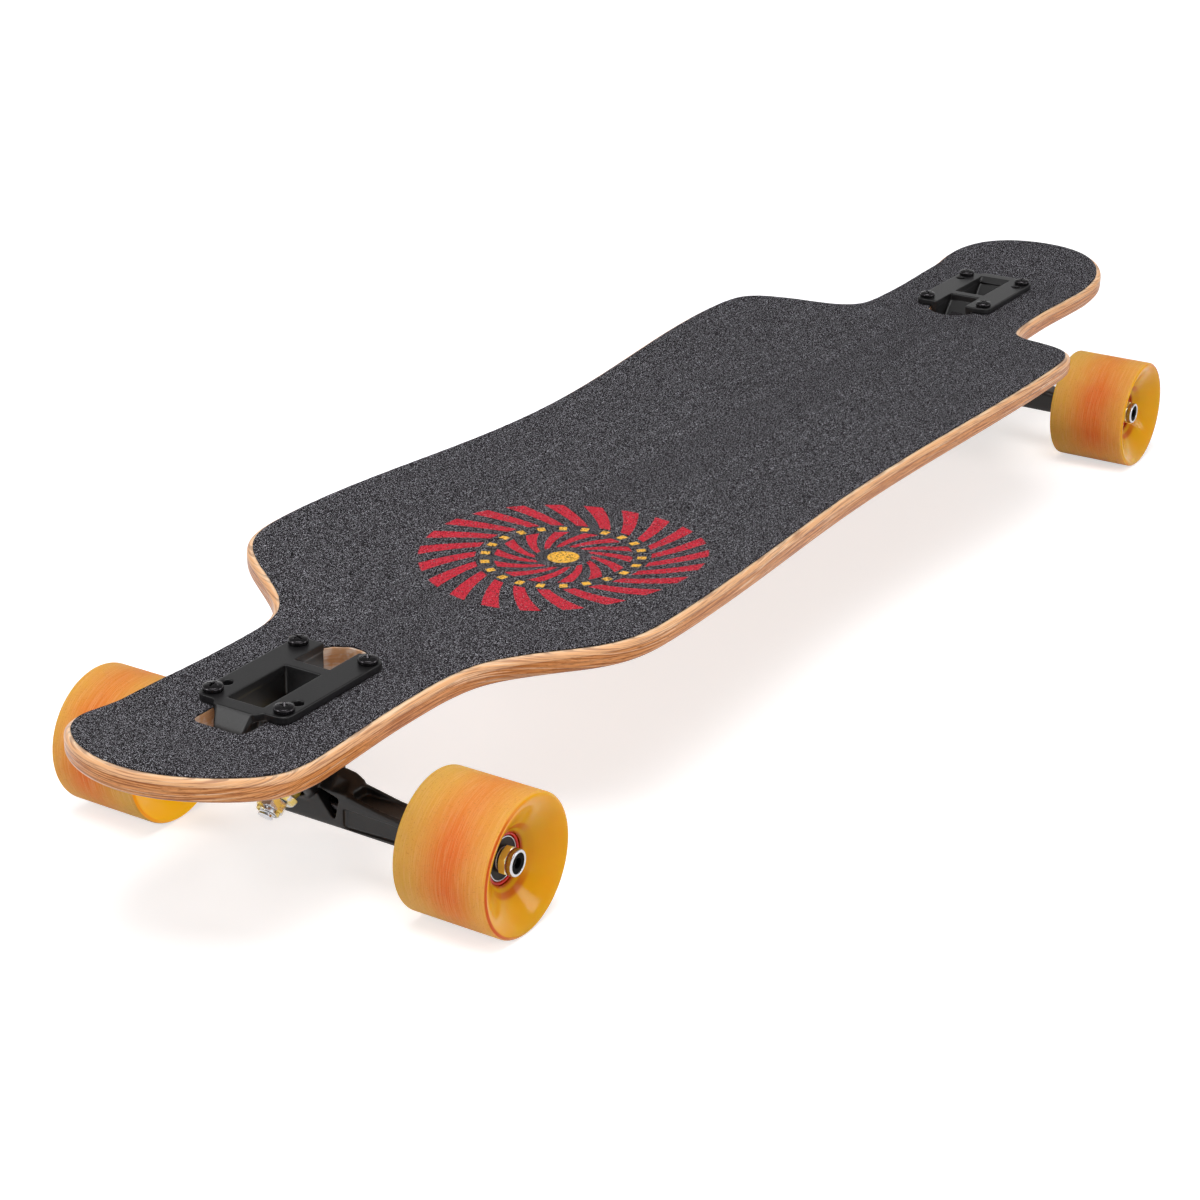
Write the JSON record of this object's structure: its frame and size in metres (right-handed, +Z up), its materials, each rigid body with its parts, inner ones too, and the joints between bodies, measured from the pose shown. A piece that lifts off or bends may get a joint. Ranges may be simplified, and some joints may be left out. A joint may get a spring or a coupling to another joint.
{
  "type": "drop-through longboard skateboard",
  "caption": "Drop-through longboard with a concave maple deck, black grip, black reverse kingpin trucks that steer by leaning, and amber urethane wheels that spin on bearings.",
  "frame": {"origin": "on the ground, midway between the trucks and the wheels' sides, under the deck's centre", "axes": "+X along the deck to its front end, +Y to the rider's left when facing the front end, +Z up"},
  "size_m": [1.005, 0.2562, 0.1057],
  "materials": {
    "maple": "gloss",
    "grip": "matte",
    "black_casting": "satin",
    "pivot_cup_urethane": "satin",
    "bright_steel": "satin",
    "black_steel": "satin",
    "bushing_urethane": "satin",
    "wheel_urethane": "satin",
    "wheel_core_plastic": "gloss",
    "bearing_steel": "satin"
  },
  "bodies": {
    "deck": {"deck": "maple", "grip_tape": "grip", "front_baseplate": "black_casting", "front_pivot_cup": "pivot_cup_urethane", "front_kingpin": "bright_steel", "front_kingpin_nut": "bright_steel", "front_roadside_washer": "bright_steel", "front_boardside_washer": "bright_steel", "front_roadside_bushing": "bushing_urethane", "front_boardside_bushing": "bushing_urethane", "front_mounting_bolt_1": "black_steel", "front_mounting_bolt_2": "black_steel", "front_mounting_bolt_3": "black_steel", "front_mounting_bolt_4": "black_steel", "front_mounting_nut_1": "black_steel", "front_mounting_nut_2": "black_steel", "front_mounting_nut_3": "black_steel", "front_mounting_nut_4": "black_steel", "rear_baseplate": "black_casting", "rear_pivot_cup": "pivot_cup_urethane", "rear_kingpin": "bright_steel", "rear_kingpin_nut": "bright_steel", "rear_roadside_washer": "bright_steel", "rear_boardside_washer": "bright_steel", "rear_roadside_bushing": "bushing_urethane", "rear_boardside_bushing": "bushing_urethane", "rear_mounting_bolt_1": "black_steel", "rear_mounting_bolt_2": "black_steel", "rear_mounting_bolt_3": "black_steel", "rear_mounting_bolt_4": "black_steel", "rear_mounting_nut_1": "black_steel", "rear_mounting_nut_2": "black_steel", "rear_mounting_nut_3": "black_steel", "rear_mounting_nut_4": "black_steel"},
    "front_hanger": {"front_hanger": "black_casting", "front_axle": "bright_steel", "front_left_axle_nut": "bright_steel", "front_right_axle_nut": "bright_steel"},
    "front_left_wheel": {"front_left_wheel": "wheel_urethane", "front_left_wheel_core": "wheel_core_plastic", "front_left_outer_bearing": "bearing_steel", "front_left_inner_bearing": "bearing_steel"},
    "front_right_wheel": {"front_right_wheel": "wheel_urethane", "front_right_wheel_core": "wheel_core_plastic", "front_right_outer_bearing": "bearing_steel", "front_right_inner_bearing": "bearing_steel"},
    "rear_hanger": {"rear_hanger": "black_casting", "rear_axle": "bright_steel", "rear_left_axle_nut": "bright_steel", "rear_right_axle_nut": "bright_steel"},
    "rear_left_wheel": {"rear_left_wheel": "wheel_urethane", "rear_left_wheel_core": "wheel_core_plastic", "rear_left_outer_bearing": "bearing_steel", "rear_left_inner_bearing": "bearing_steel"},
    "rear_right_wheel": {"rear_right_wheel": "wheel_urethane", "rear_right_wheel_core": "wheel_core_plastic", "rear_right_outer_bearing": "bearing_steel", "rear_right_inner_bearing": "bearing_steel"}
  },
  "joints": [
    {"name": "front_steering", "type": "hinge", "parent": "deck", "child": "front_hanger", "pos_m": [0.38161, 0, 0.05353], "axis": [0.7071, 0, 0.7071], "range_deg": [-18, 18], "stiffness_Nm_per_rad": 60, "deforming": ["front_roadside_bushing", "front_boardside_bushing"]},
    {"name": "front_left_wheel_spin", "type": "hinge", "parent": "front_hanger", "child": "front_left_wheel", "pos_m": [0.3729, 0.1026, 0.035], "axis": [0, 1, 0], "continuous": true},
    {"name": "front_right_wheel_spin", "type": "hinge", "parent": "front_hanger", "child": "front_right_wheel", "pos_m": [0.3729, -0.1026, 0.035], "axis": [0, 1, 0], "continuous": true},
    {"name": "rear_steering", "type": "hinge", "parent": "deck", "child": "rear_hanger", "pos_m": [-0.38161, 0, 0.05353], "axis": [-0.7071, 0, 0.7071], "range_deg": [-18, 18], "stiffness_Nm_per_rad": 60, "deforming": ["rear_roadside_bushing", "rear_boardside_bushing"]},
    {"name": "rear_left_wheel_spin", "type": "hinge", "parent": "rear_hanger", "child": "rear_left_wheel", "pos_m": [-0.3729, 0.1026, 0.035], "axis": [0, 1, 0], "continuous": true},
    {"name": "rear_right_wheel_spin", "type": "hinge", "parent": "rear_hanger", "child": "rear_right_wheel", "pos_m": [-0.3729, -0.1026, 0.035], "axis": [0, 1, 0], "continuous": true}
  ]
}
